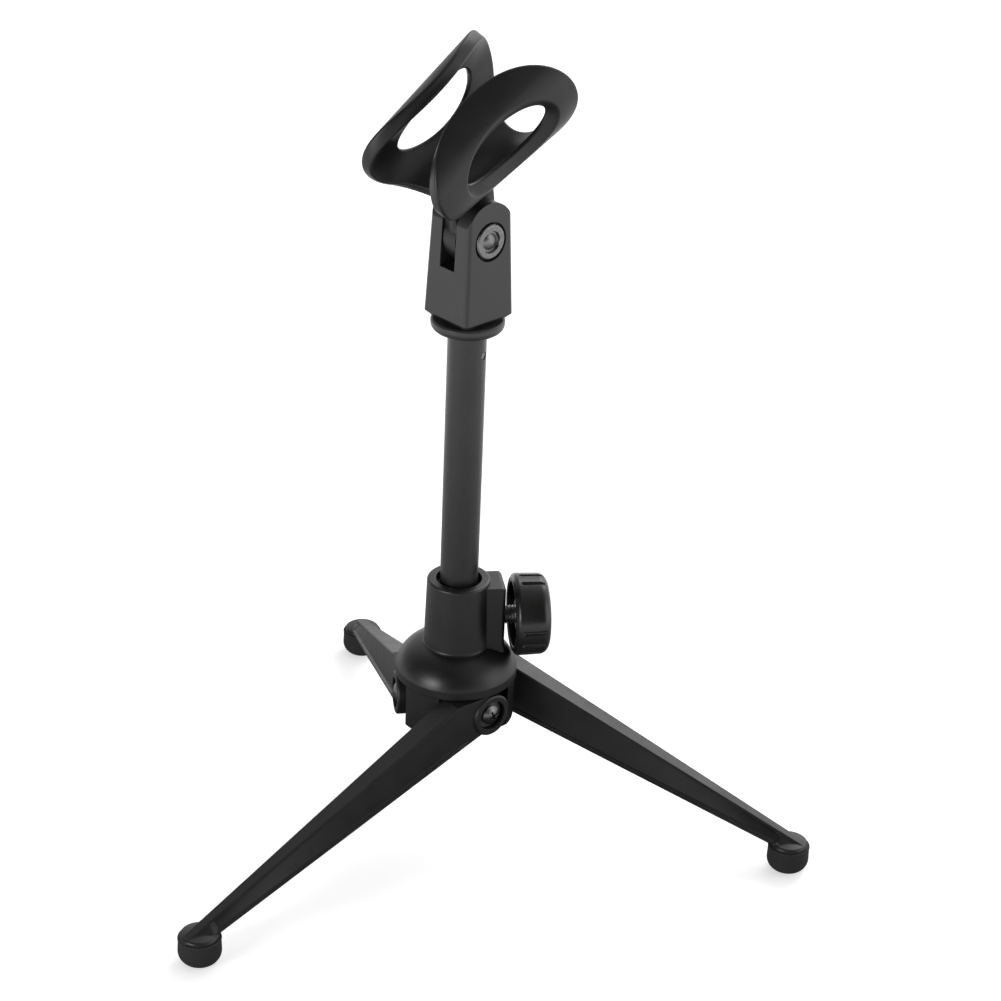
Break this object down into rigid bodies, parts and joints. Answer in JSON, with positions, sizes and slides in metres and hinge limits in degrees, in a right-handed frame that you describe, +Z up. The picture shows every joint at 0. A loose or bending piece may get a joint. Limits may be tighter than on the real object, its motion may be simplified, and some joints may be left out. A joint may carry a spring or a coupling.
{
  "type": "desktop microphone stand",
  "caption": "Folding desktop microphone stand: pinned tripod legs, a sliding column clamped by a knob, and a tilting two-jaw microphone cradle.",
  "frame": {"origin": "on the table plane, under the column axis", "axes": "+Z up along the column, +X towards the clamp knob"},
  "size_m": [0.2037, 0.195, 0.2626],
  "materials": {
    "hub_plastic": "semi-matte moulded black, glass-filled nylon",
    "leg_plastic": "semi-matte moulded black, fine grain",
    "knob_plastic": "semi-gloss moulded black",
    "clip_plastic": "satin moulded black",
    "cradle_plastic": "satin flexible black plastic",
    "black_tube": "satin black powder-coated steel tube",
    "stud_metal": "black coated thread stud",
    "dark_steel": "black zinc plated steel",
    "zinc_steel": "dark zinc plated steel",
    "brass": "plain brass",
    "nylon": "black nylon",
    "rubber": "matt black rubber"
  },
  "bodies": {
    "hub": {"hub": "hub_plastic", "clamp_insert": "brass", "leg_screw_1": "dark_steel", "leg_screw_2": "dark_steel", "leg_screw_3": "dark_steel", "leg_washer_1": "dark_steel", "leg_washer_2": "dark_steel", "leg_washer_3": "dark_steel", "leg_spring_washer_1": "dark_steel", "leg_spring_washer_2": "dark_steel", "leg_spring_washer_3": "dark_steel"},
    "leg_1": {"leg_1": "leg_plastic", "foot_1": "rubber"},
    "leg_2": {"leg_2": "leg_plastic", "foot_2": "rubber"},
    "leg_3": {"leg_3": "leg_plastic", "foot_3": "rubber"},
    "clamp_pad": {"clamp_pad": "nylon"},
    "clamp_knob": {"clamp_screw": "zinc_steel", "clamp_knob": "knob_plastic"},
    "column": {"column_tube": "black_tube", "tube_end_plug": "nylon", "threaded_stud": "stud_metal", "stud_pin": "dark_steel"},
    "swivel": {"swivel_base": "clip_plastic", "tilt_bolt": "dark_steel", "tilt_nut": "dark_steel", "friction_washer_head_side": "nylon", "friction_washer_nut_side": "nylon"},
    "cradle": {"mic_cradle": "cradle_plastic"}
  },
  "joints": [
    {"name": "leg_1_fold", "type": "hinge", "parent": "hub", "child": "leg_1", "pos_m": [0.00729, -0.01278, 0.0487], "axis": [0.5362, -0.8441, 0], "range_deg": [0, 69]},
    {"name": "leg_2_fold", "type": "hinge", "parent": "hub", "child": "leg_2", "pos_m": [0.00743, 0.01271, 0.0487], "axis": [0.4629, 0.8864, 0], "range_deg": [0, 69]},
    {"name": "leg_3_fold", "type": "hinge", "parent": "hub", "child": "leg_3", "pos_m": [-0.01472, 0.00008, 0.0487], "axis": [-0.9991, -0.0423, 0], "range_deg": [0, 69]},
    {"name": "column_slide", "type": "slide", "parent": "hub", "child": "column", "axis": [0, 0, 1], "range_m": [-0.031, 0.005]},
    {"name": "swivel_turn", "type": "hinge", "parent": "column", "child": "swivel", "pos_m": [0, 0, 0.1864], "axis": [0, 0, 1], "continuous": true},
    {"name": "clip_tilt", "type": "hinge", "parent": "swivel", "child": "cradle", "pos_m": [0, 0, 0.2064], "axis": [0.5736, -0.8192, 0], "range_deg": [-75, 60]},
    {"name": "clamp_screw_travel", "type": "slide", "parent": "hub", "child": "clamp_pad", "axis": [1, 0, 0], "range_m": [0, 0.001]},
    {"name": "knob_turn", "type": "hinge", "parent": "clamp_pad", "child": "clamp_knob", "pos_m": [0.0232, 0, 0.076], "axis": [1, 0, 0], "range_deg": [0, 360]}
  ],
  "couplings": [
    {"joint": "clamp_screw_travel", "follows": "knob_turn", "m_per_rad": 0.00015915}
  ]
}
